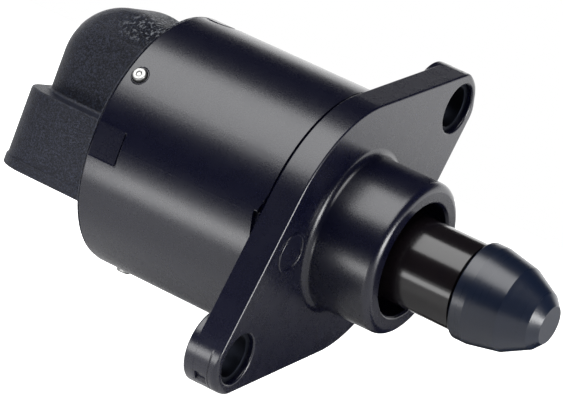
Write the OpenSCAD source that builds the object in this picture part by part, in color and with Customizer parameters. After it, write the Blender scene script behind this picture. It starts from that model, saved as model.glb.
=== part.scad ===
// Idle air control valve with a stepper motor, a threaded drive and a conical pintle.
// X runs along the valve's axis towards the pintle's tip, and X = 0 is the flange's mounting face.
// The connector opens towards -Z, and the flange's two ears lie at 45 degrees between +Y and +Z.

/* [Barrel] */
// Outside diameter of the motor barrel
barrel_d = 35.2; // [33:0.1:39]
// Length of the barrel behind the flange plate
barrel_len = 26.7; // [26:0.1:34]
// Wall of the barrel
barrel_wall = 1.8; // [1.2:0.1:2.4]
// Witness groove between the barrel and the plate, width
groove_w = 0.35; // [0.2:0.05:0.8]
// Witness groove, depth
groove_depth = 0.35; // [0.1:0.05:0.6]
// Width of the keyed patch at the barrel's rear edge, in degrees
patch_angle = 15; // [8:1:30]
// Length of the keyed patch along the barrel
patch_len = 4.5; // [2:0.1:6]
// Depth of the keyed patch
patch_depth = 0.25; // [0.1:0.05:0.6]
// Slot in the parting plane behind the plate, width along the barrel
slot_w = 1.5; // [0.8:0.1:2.5]
// Slot behind the plate, depth
slot_depth = 0.7; // [0.4:0.05:1.2]
// Where the slot starts round the barrel
slot_start = 172; // [160:1:200]
// How far the slot reaches round the barrel, in degrees
slot_angle = 24; // [10:1:40]
// Wall of the plate in front of the guide bush
front_wall_t = 3.5; // [2.5:0.1:4]
// Wall round the bearing's seat
seat_wall = 1.3; // [0.8:0.1:2]

/* [Flange] */
// Thickness of the flange plate
plate_t = 4.1; // [3.5:0.1:6]
// How far the plate's round part stands past the barrel
plate_lip = 0.15; // [0:0.05:1]
// Distance between the two bolt holes
bolt_spacing = 50; // [47:0.1:58]
// Radius of the plate at an ear's end
ear_r = 4.9; // [4.6:0.1:7]
// Thickness of the boss behind each ear
ear_boss_t = 5.05; // [4.2:0.05:8]
// How far the boss stands past the ear's edge
ear_boss_lip = 0.15; // [0.05:0.05:1]
// Diameter of the hole that holds a bush
bush_seat_d = 6.95; // [6.5:0.05:8]
// Bore of a bush, which clears the bolt
bush_bore_d = 5.6; // [4.5:0.1:6]
// How far a bush lies below the mounting face
bush_recess = 0.8; // [0:0.1:1.5]
// Gate pocket in the lower ear's end, width
gate_w = 1.2; // [0.6:0.1:2]
// Gate pocket, length along the valve
gate_len = 1.1; // [0.6:0.1:2]
// Gate pocket, depth
gate_depth = 0.4; // [0.2:0.1:1]
// Gate pocket, distance from the plate's rear face
gate_rear = 1.15; // [0.3:0.05:2]

/* [Collar] */
// Outside diameter of the collar in front of the flange
collar_d = 21.1; // [20:0.1:24]
// Length of the collar
collar_len = 9.8; // [7:0.1:11]
// Bore of the collar
collar_bore_d = 15.7; // [15:0.1:17]
// Chamfer at the mouth of the collar's bore
collar_mouth_c = 0.35; // [0.1:0.05:0.6]
// Rounding of the collar's front edge
collar_edge_r = 1.1; // [0.3:0.1:1.5]
// Fillet at the collar's foot
collar_foot_r = 1.5; // [0.5:0.1:2.5]

/* [Pintle] */
// Diameter of the pintle's stem
stem_d = 12; // [11:0.1:13]
// Wall of the stem
stem_wall = 1.4; // [1:0.1:2]
// Place of the stem's open rear end at rest
stem_rear_x = 3.2; // [2.6:0.1:5]
// Place of the head's back edge at rest
head_x = 19.25; // [18:0.05:21]
// Diameter of the head's lip
head_d = 13.35; // [12.8:0.05:14]
// Length of the head's straight lip
lip_len = 1.9; // [1:0.1:3]
// Diameter of the lip's step behind the taper
taper_d = 13.1; // [12:0.05:13.3]
// Diameter where the gentle taper ends
shoulder_d = 11.6; // [10:0.1:12]
// Length of the gentle taper
taper_len = 4.4; // [3:0.1:6]
// Length of the seat cone
cone_len = 3.6; // [3:0.1:6]
// Diameter where the seat cone ends
cone_end_d = 7.8; // [6:0.1:9]
// Length of the nose chamfer
nose_len = 1.2; // [0.4:0.1:2]
// Diameter of the flat nose
nose_d = 5.2; // [2:0.1:5.9]
// Depth of the groove between the stem and the head
neck_depth = 0.6; // [0.2:0.1:1]
// Length of the groove between the stem and the head
neck_len = 0.5; // [0.3:0.1:1]

/* [Drive] */
// Diameter of the lead screw
screw_d = 5; // [4:0.1:6]
// Depth of the flat that stops the screw turning
screw_flat = 0.5; // [0.3:0.1:1]
// How far the lead screw's rear end lies in front of the cap's plug at rest
screw_short = 4.5; // [3.5:0.1:6]
// How far the screw reaches into the head
screw_in_head = 4; // [2:0.1:6]
// Solid end of the stem behind the head
stem_end_t = 3; // [2:0.1:5]
// Thickness of the guide bush
guide_t = 3; // [2:0.1:4]
// Outside diameter of the front bearing and of the guide bush
bearing_d = 18.5; // [17.5:0.1:20]
// Bore of the front bearing
bearing_bore_d = 8; // [7.4:0.1:9]
// Width of the front bearing
bearing_w = 4; // [3:0.1:4]
// Diameter of the bearing's balls
ball_d = 2.4; // [1.6:0.1:2.6]
// Count of the bearing's balls
ball_n = 10; // [7:1:11]
// Thickness of the bearing's rings
race_t = 1.5; // [1:0.1:1.8]
// Thickness of the bearing's cage
cage_t = 0.6; // [0.4:0.1:0.8]
// How far the cage lies inside the rings' faces
cage_inset = 0.4; // [0.2:0.1:0.8]
// How far the magnet's surface lies inside the middle between the hub and the barrel's bore
coil_room = 1.4; // [0.5:0.1:2]
// Gap between the stator's front and the magnet
magnet_front_gap = 0.8; // [0.4:0.1:2]
// Gap between the stator's rear and the magnet
magnet_rear_gap = 1.2; // [0.6:0.1:2]
// Outside diameter of the rotor's hub
hub_d = 12; // [10:0.1:14]
// Length of the threaded stretch in the hub
nut_len = 10; // [6:0.1:11]
// How far the thread starts behind the magnet's front
nut_inset = 0.4; // [0:0.1:1]
// Room round the screw in front of the thread and behind it
hub_clear = 0.5; // [0.3:0.1:0.8]
// Height of the hub's shoulder that carries the bearing's inner ring
shoulder_h = 0.9; // [0.5:0.1:1.2]
// How far the front journal stays behind the bearing's front face
journal_short = 0.3; // [0.1:0.1:0.8]
// Diameter of the rotor's rear journal
journal_d = 7.4; // [6.8:0.1:8]
// Length of the rotor's rear journal
journal_len = 2.8; // [2:0.1:3]
// How far the rear journal's shoulder stays in front of the cap's plug
journal_gap = 0.2; // [0.1:0.05:0.5]
// Room behind the rear journal's end
journal_end_gap = 0.3; // [0.1:0.1:0.6]
// Wall of the rear bush
rear_bush_wall = 1.3; // [0.8:0.1:2]
// Radial width of the preload spring's section
spring_t = 0.5; // [0.3:0.1:0.8]
// Height of the spring's edges
spring_edge = 0.3; // [0.2:0.05:0.5]
// Radial gap between the spring and the rear journal
spring_gap = 0.4; // [0.2:0.1:1]
// How far the spring reaches past the rear bush
spring_reach = 1.2; // [0.8:0.1:2]
// Gap between the spring and the magnet
spring_play = 0.15; // [0.05:0.05:0.3]
// Radial clearance of the turning and sliding fits
run_gap = 0.05; // [0.02:0.01:0.08]

/* [Stator] */
// Air gap between the claws and the magnet
air_gap = 0.4; // [0.3:0.05:0.8]
// Thickness of the stator's sheet
sheet_t = 0.8; // [0.6:0.1:1]
// Gap between the bearing and the stator
stator_front_gap = 0.5; // [0.2:0.1:1]
// Gap between the stator and the cap's plug
stator_rear_gap = 0.1; // [0.05:0.05:0.5]
// Count of the claws on each sheet
claw_n = 6; // [4:1:6]
// Gap between two claws, in degrees
claw_gap = 8; // [4:1:12]
// How far a claw's tip stays short of the far sheet
claw_short = 1.2; // [0.8:0.1:2]
// Gap between the stator and the barrel's bore
stator_gap = 0.05; // [0:0.05:0.3]
// Wall of a coil's bobbin
bobbin_wall = 0.7; // [0.5:0.1:1]
// Radial gap between a bobbin and the sheets
bobbin_gap = 0.05; // [0.02:0.01:0.1]
// How deep a winding lies inside its bobbin's flanges
winding_sink = 0.4; // [0.2:0.1:1]

/* [Rear cap] */
// Length of the cap's plug inside the barrel
plug_len = 5.3; // [5:0.1:6]
// Radial gap between the plug and the barrel
plug_gap = 0.05; // [0:0.05:0.2]
// How far the cap's disc stands behind the barrel
disc_t = 0.3; // [0.1:0.1:1]
// Wall between the barrel and the socket
socket_front_wall = 2.2; // [1.5:0.1:3]
// Width of the connector's shroud
shroud_w = 22; // [20:0.1:26]
// Rear face of the shroud behind the barrel
shroud_back = 16.9; // [16:0.1:19]
// Rear face of the hump behind the barrel
hump_back = 15.9; // [14.5:0.1:16]
// Place of the shroud's mouth below the axis
mouth_drop = 9.9; // [9:0.1:12]
// Place of the shroud's top ledge above the axis
ledge_rise = 1.1; // [0:0.1:3]
// Wall of the shroud
shroud_wall = 1.6; // [1.2:0.1:2]
// Wall of the shroud behind the socket
socket_rear_wall = 2; // [1.4:0.1:3]
// Depth of the socket behind the mouth
socket_depth = 8; // [6:0.1:8.5]
// Rounding of the shroud's two rear corners
shroud_corner_r = 4.8; // [2:0.1:5.4]
// Rounding of the shroud's two corners beside the barrel
shroud_front_r = 1.8; // [0.5:0.1:2]
// Rounding of the socket's two rear corners
socket_corner_r = 3; // [1:0.1:4]
// Rounding of the socket's two front corners
socket_front_r = 0.6; // [0.3:0.1:1.4]
// Width of the ledge beside the hump
ledge_w = 3; // [1:0.1:4]
// Height of the hump above the axis
hump_rise = 15.2; // [12:0.1:15.4]
// How far the hump's top falls towards the barrel
hump_fall = 1; // [0:0.1:3]
// Radius of the elbow's bend, over the back of the hump
bend_r = 8.5; // [6:0.5:11]
// Rounding of the hump's long edges
hump_r = 5; // [2:0.1:6]
// Height of the lip round the mouth
lip_h = 1.4; // [0.4:0.1:2]
// How far the lip stands out
lip_out = 0.2; // [0.1:0.05:0.5]

/* [Seal] */
// Section of the cap's O-ring
seal_d = 1.3; // [1:0.1:1.5]
// Gap between the O-ring groove and the plug's front face
seal_edge = 0.5; // [0.4:0.1:0.8]

/* [Lock pins] */
// Diameter of a lock pin
pin_d = 1.9; // [1.2:0.1:2.2]
// Place of the pins in front of the barrel's rear edge
pin_inset = 2; // [1.6:0.05:2.2]
// Count of the pins
pin_n = 3; // [2:1:4]
// Angle of the first pin round the barrel
pin_start = 148; // [0:1:360]
// How far a pin stands proud of the barrel
pin_proud = 0.55; // [0.2:0.05:1]
// Depth of a pin in the plug
pin_in = 1.6; // [1:0.1:2.5]

/* [Terminals] */
// Count of the terminals
term_n = 4; // [2:1:5]
// Distance between the terminals
term_pitch = 4; // [3:0.1:4]
// Width of a terminal
term_w = 1.5; // [0.8:0.1:1.8]
// Thickness of a terminal
term_t = 0.6; // [0.4:0.1:0.8]
// How far a terminal's tip stays inside the mouth
term_short = 1.5; // [1:0.1:3]
// How far a terminal rises above the shroud's ledge before it bends
term_rise = 6.5; // [4:0.1:8]

/* [Hidden] */
$fn = 96;
eps = 0.01;

barrel_r = barrel_d / 2;
bore_r = barrel_r - barrel_wall;
plate_r = barrel_r + plate_lip;
rear_x = -plate_t - barrel_len;
ear_angle = 45;
ear_y = bolt_spacing / 2;
stem_r = stem_d / 2;
stem_in_r = stem_r - stem_wall;
screw_r = screw_d / 2;
hub_r = hub_d / 2;

// Seats that follow one another behind the collar's bore
guide_x = -front_wall_t;
bearing_front_x = guide_x - guide_t;
bearing_rear_x = bearing_front_x - bearing_w;
seat_r = bearing_d / 2;
seat_boss_r = seat_r + seat_wall;
bearing_mid_x = (bearing_front_x + bearing_rear_x) / 2;
bearing_bore_r = bearing_bore_d / 2;
bearing_mid_r = (seat_r + bearing_bore_r) / 2;

// The stator's two phases fill the room between the bearing and the cap's plug
plug_front_x = rear_x + plug_len;
stator_front_x = bearing_rear_x - stator_front_gap;
stator_rear_x = plug_front_x + stator_rear_gap;
stator_mid_x = (stator_front_x + stator_rear_x) / 2;
stator_r = bore_r - stator_gap;
magnet_r = (hub_r + bore_r) / 2 - coil_room;
claw_r = magnet_r + air_gap;
claw_step = 360 / claw_n / 2;
bobbin_in_r = claw_r + sheet_t + bobbin_gap;
bobbin_out_r = stator_r - sheet_t - bobbin_gap;
front_coil_x = [stator_mid_x + sheet_t, stator_front_x - sheet_t];
rear_coil_x = [stator_rear_x + sheet_t, stator_mid_x - sheet_t];

// Rotor
magnet_front_x = stator_front_x - magnet_front_gap;
magnet_rear_x = stator_rear_x + magnet_rear_gap;
journal_r = journal_d / 2;
journal_rear_x = plug_front_x + journal_gap - journal_len;
rear_bush_x = journal_rear_x - journal_end_gap;
rear_bush_r = journal_r + rear_bush_wall;
nut_front_x = magnet_front_x - nut_inset;
hub_clear_r = screw_r + hub_clear;

// Rear cap
disc_x = rear_x - disc_t;
shroud_x = rear_x - shroud_back;
hump_x = rear_x - hump_back;
hump_w = shroud_w - 2 * ledge_w;
plug_r = bore_r - plug_gap;
pin_x = rear_x + pin_inset;
pin_r = pin_d / 2;
pin_tip_r = barrel_r + pin_proud;
pin_root_r = bore_r - pin_in;
seal_x = plug_front_x - seal_edge - seal_d / 2;
socket_front_x = disc_x - socket_front_wall;
socket_back_x = shroud_x + socket_rear_wall;
term_x = (socket_front_x + socket_back_x) / 2;

// Pintle
screw_rear_x = plug_front_x + screw_short;
head_front_x = head_x + lip_len + taper_len + cone_len + nose_len;

// Lays a shape that was made along Z down along X, with its height towards +X
module along_x() {
  rotate([0, 90, 0]) children();
}

// A solid turned round the X axis from [radius, x] points
module turned(points) {
  along_x() rotate_extrude() polygon(points);
}

// A disc between two places on the X axis
module disc(x0, x1, r) {
  translate([min(x0, x1), 0, 0]) along_x() cylinder(h = abs(x1 - x0), r = r);
}

// A ring between two places on the X axis
module ring(x0, x1, ro, ri) {
  difference() {
    disc(x0, x1, ro);
    disc(min(x0, x1) - eps, max(x0, x1) + eps, ri);
  }
}

// A shape drawn in the Y-Z plane and given a thickness from x0 towards x1
module slab(x0, x1) {
  translate([min(x0, x1), 0, 0]) multmatrix([
    [0, 0, 1, 0],
    [1, 0, 0, 0],
    [0, 1, 0, 0],
    [0, 0, 0, 1]
  ]) linear_extrude(height = abs(x1 - x0)) children();
}

// Turns its children to each ear of the flange
module each_ear() {
  for (side = [0, 180]) rotate([ear_angle + side, 0, 0]) translate([0, ear_y, 0]) children();
}

// The straight sides of the plate: the two tangents of the middle circle and an ear's circle
module ear_web(r_mid, r_end) {
  tilt = acos((r_mid - r_end) / ear_y);
  polygon([
    [0, 0],
    [r_mid * cos(tilt), r_mid * sin(tilt)],
    [ear_y + r_end * cos(tilt), r_end * sin(tilt)],
    [ear_y + r_end * cos(tilt), -r_end * sin(tilt)],
    [r_mid * cos(tilt), -r_mid * sin(tilt)]
  ]);
}

module flange_plate() {
  disc(-plate_t, 0, plate_r);
  for (side = [0, 180]) rotate([ear_angle + side, 0, 0]) {
    slab(-plate_t, 0) ear_web(plate_r, ear_r);
    translate([0, ear_y, 0]) disc(-plate_t, 0, ear_r);
  }
  each_ear() disc(-ear_boss_t, -plate_t + 1, ear_r + ear_boss_lip);
}

// The collar with a hollow fillet at its foot and a rounded front edge
module collar() {
  collar_r = collar_d / 2;
  foot = [for (a = [180:15:270]) [
    collar_r + collar_foot_r + collar_foot_r * cos(a),
    collar_foot_r + collar_foot_r * sin(a)
  ]];
  edge = [for (a = [90:-15:0]) [
    collar_r - collar_edge_r + collar_edge_r * cos(a),
    collar_len - collar_edge_r + collar_edge_r * sin(a)
  ]];
  turned(concat([[0, -1]], [[0, collar_len]], edge, foot, [[collar_r + collar_foot_r, -1]]));
}

// Holes for the lock pins, pointing out of the axis
module pin_rods(r_in, r_out, r) {
  for (i = [0:pin_n - 1]) rotate([pin_start + i * 360 / pin_n, 0, 0])
    translate([pin_x, r_in, 0]) rotate([-90, 0, 0]) cylinder(h = r_out - r_in, r = r, $fn = 32);
}

// One moulding: barrel, flange plate, ear bosses and collar, with the bearing seat inside
module housing() {
  color("#26262b") difference() {
    union() {
      disc(rear_x, -plate_t + 1, barrel_r);
      flange_plate();
      collar();
    }
    // motor space, which leaves the bearing's boss standing on the front wall
    ring(stator_front_x, -plate_t, bore_r, seat_boss_r);
    disc(rear_x - 1, stator_front_x, bore_r);
    disc(stator_front_x - eps, guide_x, seat_r);
    disc(guide_x - eps, collar_len + 1, collar_bore_d / 2);
    turned([
      [0, collar_len - collar_mouth_c],
      [collar_bore_d / 2, collar_len - collar_mouth_c],
      [collar_bore_d / 2 + 2 * collar_mouth_c, collar_len + collar_mouth_c],
      [0, collar_len + collar_mouth_c]
    ]);
    // witness groove behind the plate
    ring(-plate_t - groove_w, -plate_t, barrel_r + plate_lip / 2, barrel_r - groove_depth);
    // bush holes
    each_ear() disc(-ear_boss_t - 1, 1, bush_seat_d / 2);
    // lock pin holes
    pin_rods(bore_r - 1, barrel_r + 1, pin_r);
    // keyed patch in the parting plane at the rear edge
    sector(rear_x - 1, rear_x + patch_len, barrel_r + 1, barrel_r - patch_depth,
      180 - patch_angle / 2, patch_angle);
    // slot in the parting plane behind the plate
    sector(-plate_t - slot_w, -plate_t, barrel_r + plate_lip / 2, barrel_r - slot_depth,
      slot_start, slot_angle);
    // gate pocket in the lower ear's end face
    rotate([ear_angle + 180, 0, 0])
      translate([-plate_t + gate_rear, ear_y + ear_r - gate_depth, -gate_w / 2])
        cube([gate_len, gate_depth + 1, gate_w]);
  }
}

// The part of a ring between two angles, for a cut that follows the barrel
module sector(x0, x1, ro, ri, start, angle) {
  rotate([start, 0, 0]) intersection() {
    ring(x0, x1, ro, ri);
    slab(x0, x1) polygon([[0, 0], [2 * ro, 0], [2 * ro * cos(angle), 2 * ro * sin(angle)]]);
  }
}

// A box with its four edges along Z rounded, by r0 at its x0 end and by r1 at its x1 end
module round_box(x0, x1, w, z0, z1, r0, r1) {
  hull() for (side = [-1, 1]) {
    translate([x0 + r0, side * (w / 2 - r0), z0]) cylinder(h = z1 - z0, r = r0, $fn = 64);
    translate([x1 - r1, side * (w / 2 - r1), z0]) cylinder(h = z1 - z0, r = r1, $fn = 32);
  }
}

// The elbow over the terminals: its back bends forwards over the top, and its long edges are rounded
module hump() {
  half = hump_w / 2 - hump_r;
  bend_x = hump_x + bend_r;
  bend_z = hump_rise - bend_r;
  path = concat(
    [[hump_x + hump_r, 0]],
    [for (a = [180:-18:90]) [
      bend_x + (bend_r - hump_r) * cos(a),
      bend_z + (bend_r - hump_r) * sin(a)
    ]]
  );
  hull() {
    for (y = [-half, half], p = path) translate([p[0], y, p[1]]) sphere(r = hump_r, $fn = 32);
    for (y = [-half, half], z = [0, hump_rise - hump_fall - hump_r])
      translate([disc_x, y, z]) along_x() cylinder(h = disc_t, r = hump_r, $fn = 32);
  }
}

// Rear cap: plug in the barrel, elbow, and a shroud that opens downwards
module connector_cap() {
  color("#23252c") difference() {
    union() {
      disc(disc_x, plug_front_x, plug_r);
      hump();
      round_box(shroud_x, disc_x + disc_t, shroud_w, -mouth_drop, ledge_rise,
        shroud_corner_r, shroud_front_r);
      round_box(shroud_x - lip_out, disc_x + disc_t, shroud_w + 2 * lip_out,
        -mouth_drop, -mouth_drop + lip_h, shroud_corner_r + lip_out, shroud_front_r + lip_out);
    }
    // socket
    round_box(socket_back_x, socket_front_x, shroud_w - 2 * shroud_wall,
      -mouth_drop - 1, -mouth_drop + socket_depth, socket_corner_r, socket_front_r);
    // seat for the rear bush and the room for the screw's end
    disc(rear_bush_x, plug_front_x + 1, rear_bush_r);
    // groove for the seal
    ring(seal_x - seal_d / 2, seal_x + seal_d / 2, bore_r + 1, bore_r - seal_d);
    pin_rods(pin_root_r, barrel_r + 1, pin_r);
    terminal_rods();
  }
}

module lock_pins() {
  color("#c9ccd0") pin_rods(pin_root_r, pin_tip_r, pin_r);
}

// Bent contacts: from the coils back through the disc, then down into the socket
module terminal_rods() {
  foot_z = ledge_rise + term_rise;
  for (i = [0:term_n - 1]) {
    y = (i - (term_n - 1) / 2) * term_pitch;
    translate([term_x - term_t / 2, y - term_w / 2, -mouth_drop + term_short])
      cube([term_t, term_w, mouth_drop - term_short + foot_z]);
    translate([term_x - term_t / 2, y - term_w / 2, foot_z - term_t])
      cube([plug_front_x - term_x + term_t / 2, term_w, term_t]);
  }
}

module terminals() {
  color("#c8b273") terminal_rods();
}

module mounting_bushes() {
  color("#8d9096") each_ear() ring(-ear_boss_t, -bush_recess, bush_seat_d / 2, bush_bore_d / 2);
}

module cap_seal() {
  color("#1b1b1b") along_x() translate([0, 0, seal_x]) rotate_extrude()
    translate([bore_r - seal_d / 2, 0]) circle(r = seal_d / 2, $fn = 32);
}

// A drawn cup: outer wall, end disc and claws bent inwards along the magnet
module stator_cup(open_x, end_x, turn) {
  inward = end_x > open_x ? -1 : 1;
  ring(open_x, end_x, stator_r, stator_r - sheet_t);
  ring(end_x, end_x + inward * sheet_t, stator_r, claw_r);
  claws(end_x, open_x - inward * claw_short, turn);
}

// A flat pole plate with claws that reach between the cup's claws
module pole_plate(face_x, end_x, turn) {
  inward = end_x > face_x ? 1 : -1;
  ring(face_x, face_x + inward * sheet_t, stator_r - sheet_t, claw_r);
  claws(face_x, end_x - inward * claw_short, turn);
}

module claws(x0, x1, turn) {
  width = claw_step - claw_gap;
  for (i = [0:claw_n - 1]) rotate([turn + i * 360 / claw_n, 0, 0]) intersection() {
    ring(x0, x1, claw_r + sheet_t, claw_r);
    slab(x0, x1) polygon([
      [0, 0],
      [2 * claw_r * cos(width / 2), -2 * claw_r * sin(width / 2)],
      [2 * claw_r * cos(width / 2), 2 * claw_r * sin(width / 2)]
    ]);
  }
}

module front_stator_cup() {
  color("#9a9da3") stator_cup(stator_mid_x, stator_front_x, 0);
}

module front_pole_plate() {
  color("#8f9298") pole_plate(stator_mid_x, stator_front_x, claw_step);
}

module rear_pole_plate() {
  color("#8f9298") rotate([claw_step / 2, 0, 0]) pole_plate(stator_mid_x, stator_rear_x, claw_step);
}

module rear_stator_cup() {
  color("#9a9da3") rotate([claw_step / 2, 0, 0]) stator_cup(stator_mid_x, stator_rear_x, 0);
}

// A spool between a cup's end and a pole plate
module bobbin(x0, x1) {
  difference() {
    ring(x0, x1, bobbin_out_r, bobbin_in_r);
    ring(x0 + bobbin_wall, x1 - bobbin_wall, bobbin_out_r + 1, bobbin_in_r + bobbin_wall);
  }
}

module winding(x0, x1) {
  ring(x0 + bobbin_wall, x1 - bobbin_wall, bobbin_out_r - winding_sink, bobbin_in_r + bobbin_wall);
}

module front_bobbin() {
  color("#e2dfd2") bobbin(front_coil_x[0], front_coil_x[1]);
}

module rear_bobbin() {
  color("#e2dfd2") bobbin(rear_coil_x[0], rear_coil_x[1]);
}

module front_winding() {
  color("#b5652f") winding(front_coil_x[0], front_coil_x[1]);
}

module rear_winding() {
  color("#b5652f") winding(rear_coil_x[0], rear_coil_x[1]);
}

// The section of the screw: a circle with one flat
module screw_section(r, flat_z) {
  difference() {
    circle(r = r);
    translate([-2 * r, flat_z]) square([4 * r, 2 * r]);
  }
}

// Guide that lets the screw slide and stops it turning
module guide_bush() {
  color("#d8d5c8") difference() {
    disc(bearing_front_x, guide_x, seat_r);
    slab(bearing_front_x - 1, guide_x + 1)
      screw_section(screw_r + run_gap, screw_r - screw_flat + run_gap);
  }
}

// A ring of the bearing with the ball track cut round it
module race(ro, ri) {
  difference() {
    ring(bearing_rear_x, bearing_front_x, ro, ri);
    along_x() translate([0, 0, bearing_mid_x]) rotate_extrude()
      translate([bearing_mid_r, 0]) circle(r = ball_d / 2 + run_gap, $fn = 48);
  }
}

module bearing_outer_ring() {
  color("#b7bac0") race(seat_r, seat_r - race_t);
}

module bearing_inner_ring() {
  color("#b7bac0") race(bearing_bore_r + race_t, bearing_bore_r);
}

module bearing_balls() {
  color("#d2d5da") for (i = [0:ball_n - 1]) rotate([i * 360 / ball_n, 0, 0])
    translate([bearing_mid_x, bearing_mid_r, 0]) sphere(r = ball_d / 2, $fn = 32);
}

module bearing_cage() {
  color("#caa96a") difference() {
    ring(bearing_rear_x + cage_inset, bearing_front_x - cage_inset,
      bearing_mid_r + cage_t / 2, bearing_mid_r - cage_t / 2);
    for (i = [0:ball_n - 1]) rotate([i * 360 / ball_n, 0, 0])
      translate([bearing_mid_x, bearing_mid_r - cage_t, 0]) rotate([-90, 0, 0])
        cylinder(h = 2 * cage_t, r = ball_d / 2 + run_gap, $fn = 32);
  }
}

module rotor_magnet() {
  color("#3a3a3e") ring(magnet_rear_x, magnet_front_x, magnet_r, hub_r);
}

// Hub with the bearing's journal, the threaded stretch and the rear journal
module rotor_hub() {
  color("#c9a24e") difference() {
    union() {
      disc(bearing_front_x - journal_short, magnet_front_x, bearing_bore_r);
      disc(magnet_rear_x, magnet_front_x, hub_r);
      disc(magnet_front_x, bearing_rear_x, bearing_bore_r + shoulder_h);
      disc(journal_rear_x, magnet_rear_x, journal_r);
    }
    disc(journal_rear_x - 1, 0, screw_r + run_gap);
    disc(nut_front_x, 0, hub_clear_r);
    disc(journal_rear_x - 1, nut_front_x - nut_len, hub_clear_r);
  }
}

module rear_bush() {
  color("#b08d57") ring(rear_bush_x, plug_front_x, rear_bush_r, journal_r + run_gap);
}

// Cone spring that presses the rotor forwards
module preload_spring() {
  x0 = plug_front_x;
  x1 = magnet_rear_x - spring_play;
  front_r = journal_r + spring_gap;
  rear_r = rear_bush_r + spring_reach;
  color("#a9adb3") turned([
    [front_r, x1 - spring_edge],
    [front_r, x1],
    [front_r + spring_t, x1],
    [rear_r, x0 + spring_edge],
    [rear_r, x0],
    [rear_r - spring_t, x0]
  ]);
}

// Lead screw with one flat, its thread left smooth
module lead_screw() {
  color("#aeb1b6") slab(screw_rear_x, head_x + screw_in_head) screw_section(screw_r, screw_r - screw_flat);
}

// Closed tube that hides the screw and carries the head
module pintle_stem() {
  color("#1d1d20") difference() {
    disc(stem_rear_x, head_x, stem_r);
    disc(stem_rear_x - 1, head_x - stem_end_t, stem_in_r);
    slab(stem_rear_x, head_x + 1) screw_section(screw_r, screw_r - screw_flat);
    ring(head_x - neck_len, head_x, stem_r + 1, stem_r - neck_depth);
  }
}

// Conical pintle: lip, gentle taper, seat cone, chamfer and a flat nose
module pintle_head() {
  x1 = head_x + lip_len;
  x2 = x1 + taper_len;
  x3 = x2 + cone_len;
  color("#303338") difference() {
    turned([
      [0, head_x],
      [head_d / 2, head_x],
      [head_d / 2, x1],
      [taper_d / 2, x1],
      [shoulder_d / 2, x2],
      [cone_end_d / 2, x3],
      [nose_d / 2, head_front_x],
      [0, head_front_x]
    ]);
    slab(head_x - 1, head_x + screw_in_head) screw_section(screw_r, screw_r - screw_flat);
  }
}

housing();
connector_cap();
lock_pins();
terminals();
mounting_bushes();
cap_seal();
front_stator_cup();
front_pole_plate();
rear_pole_plate();
rear_stator_cup();
front_bobbin();
rear_bobbin();
front_winding();
rear_winding();
guide_bush();
bearing_outer_ring();
bearing_balls();
bearing_inner_ring();
bearing_cage();
rotor_magnet();
rotor_hub();
rear_bush();
preload_spring();
lead_screw();
pintle_stem();
pintle_head();
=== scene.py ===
# %% [markdown]
# # Idle air control valve
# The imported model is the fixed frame: its nodes stay where they are, and the pieces
# below take the place of the ones that are seen. Everything is worked out in
# millimetres, as a maker would, and turned into metres when a mesh is written.
# X runs along the valve's axis towards the pintle's tip, and X = 0 is the mounting face.

import bpy
import numpy as np
from mathutils import Matrix, Vector
from mathutils.geometry import tessellate_polygon


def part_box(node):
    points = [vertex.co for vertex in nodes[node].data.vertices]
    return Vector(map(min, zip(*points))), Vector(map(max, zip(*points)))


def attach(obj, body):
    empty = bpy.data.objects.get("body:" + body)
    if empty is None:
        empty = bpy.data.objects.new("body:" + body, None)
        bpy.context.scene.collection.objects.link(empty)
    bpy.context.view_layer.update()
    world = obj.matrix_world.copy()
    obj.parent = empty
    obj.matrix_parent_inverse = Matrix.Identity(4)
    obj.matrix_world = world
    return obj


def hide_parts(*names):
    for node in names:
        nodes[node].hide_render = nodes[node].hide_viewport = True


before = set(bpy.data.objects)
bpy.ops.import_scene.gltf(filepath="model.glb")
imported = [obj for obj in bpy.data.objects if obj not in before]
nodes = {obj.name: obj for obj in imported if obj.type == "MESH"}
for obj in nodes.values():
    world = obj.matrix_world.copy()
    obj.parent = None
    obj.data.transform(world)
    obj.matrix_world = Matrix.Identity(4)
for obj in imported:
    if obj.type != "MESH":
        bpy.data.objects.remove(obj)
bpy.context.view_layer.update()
MM = 0.001


def span(node):
    """Lowest and highest corner of a CAD node in millimetres."""
    low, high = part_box(node)
    return np.array(low) / MM, np.array(high) / MM


# %% [markdown]
# ## The sizes that the pieces share
# Lengths along the axis come from the nodes' own boxes where a box gives them. The
# radii are written once here, as are the places that several pieces share. Angles run
# round the axis from the Y axis towards the Z axis.

# %% Sizes
REAR_X = span("housing")[0][0]
COLLAR_END = span("housing")[1][0]
PLATE_T = 4.1
BARREL_R = 17.6
BORE_R = 15.8
PLATE_R = BARREL_R + 0.15
EAR_Y, EAR_R, EAR_ANGLE = 25.0, 4.9, np.radians(45)
BOSS_R, BOSS_X = 4.92, -5.05
HOLE_R = 3.475
COLLAR_R, COLLAR_BORE_R = 10.55, 7.85
PIN_ANGLES = np.radians([148, 268, 28])
PIN_X, PIN_R = REAR_X + 2.0, 0.95
print("barrel from", REAR_X, "collar to", COLLAR_END)

# %% [markdown]
# ## Skins made of patches
# A moulding is a closed skin, but each part of it is easiest to write as its own
# surface: a grid of points for what bends, a filled outline for what is flat. Each
# patch brings its own normals, and only then are the points welded. The skin is
# closed for a slicer, and the shading still runs smoothly over a rounding and breaks
# cleanly at a sharp edge, which averaged normals can't do beside a wide flat face.


# %% The skin
def slopes(points):
    """Normals of a sampled surface: the cross product of its slope along the columns and
    its slope along the rows. A surface whose last column is its first closes on itself."""
    along, across = np.gradient(points, axis=0), np.gradient(points, axis=1)
    if np.allclose(points[:, 0], points[:, -1]):
        across[:, 0] = across[:, -1] = points[:, 1] - points[:, -2]
    normals = np.cross(across, along)
    return normals / (np.linalg.norm(normals, axis=2, keepdims=True) + 1e-12)


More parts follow.
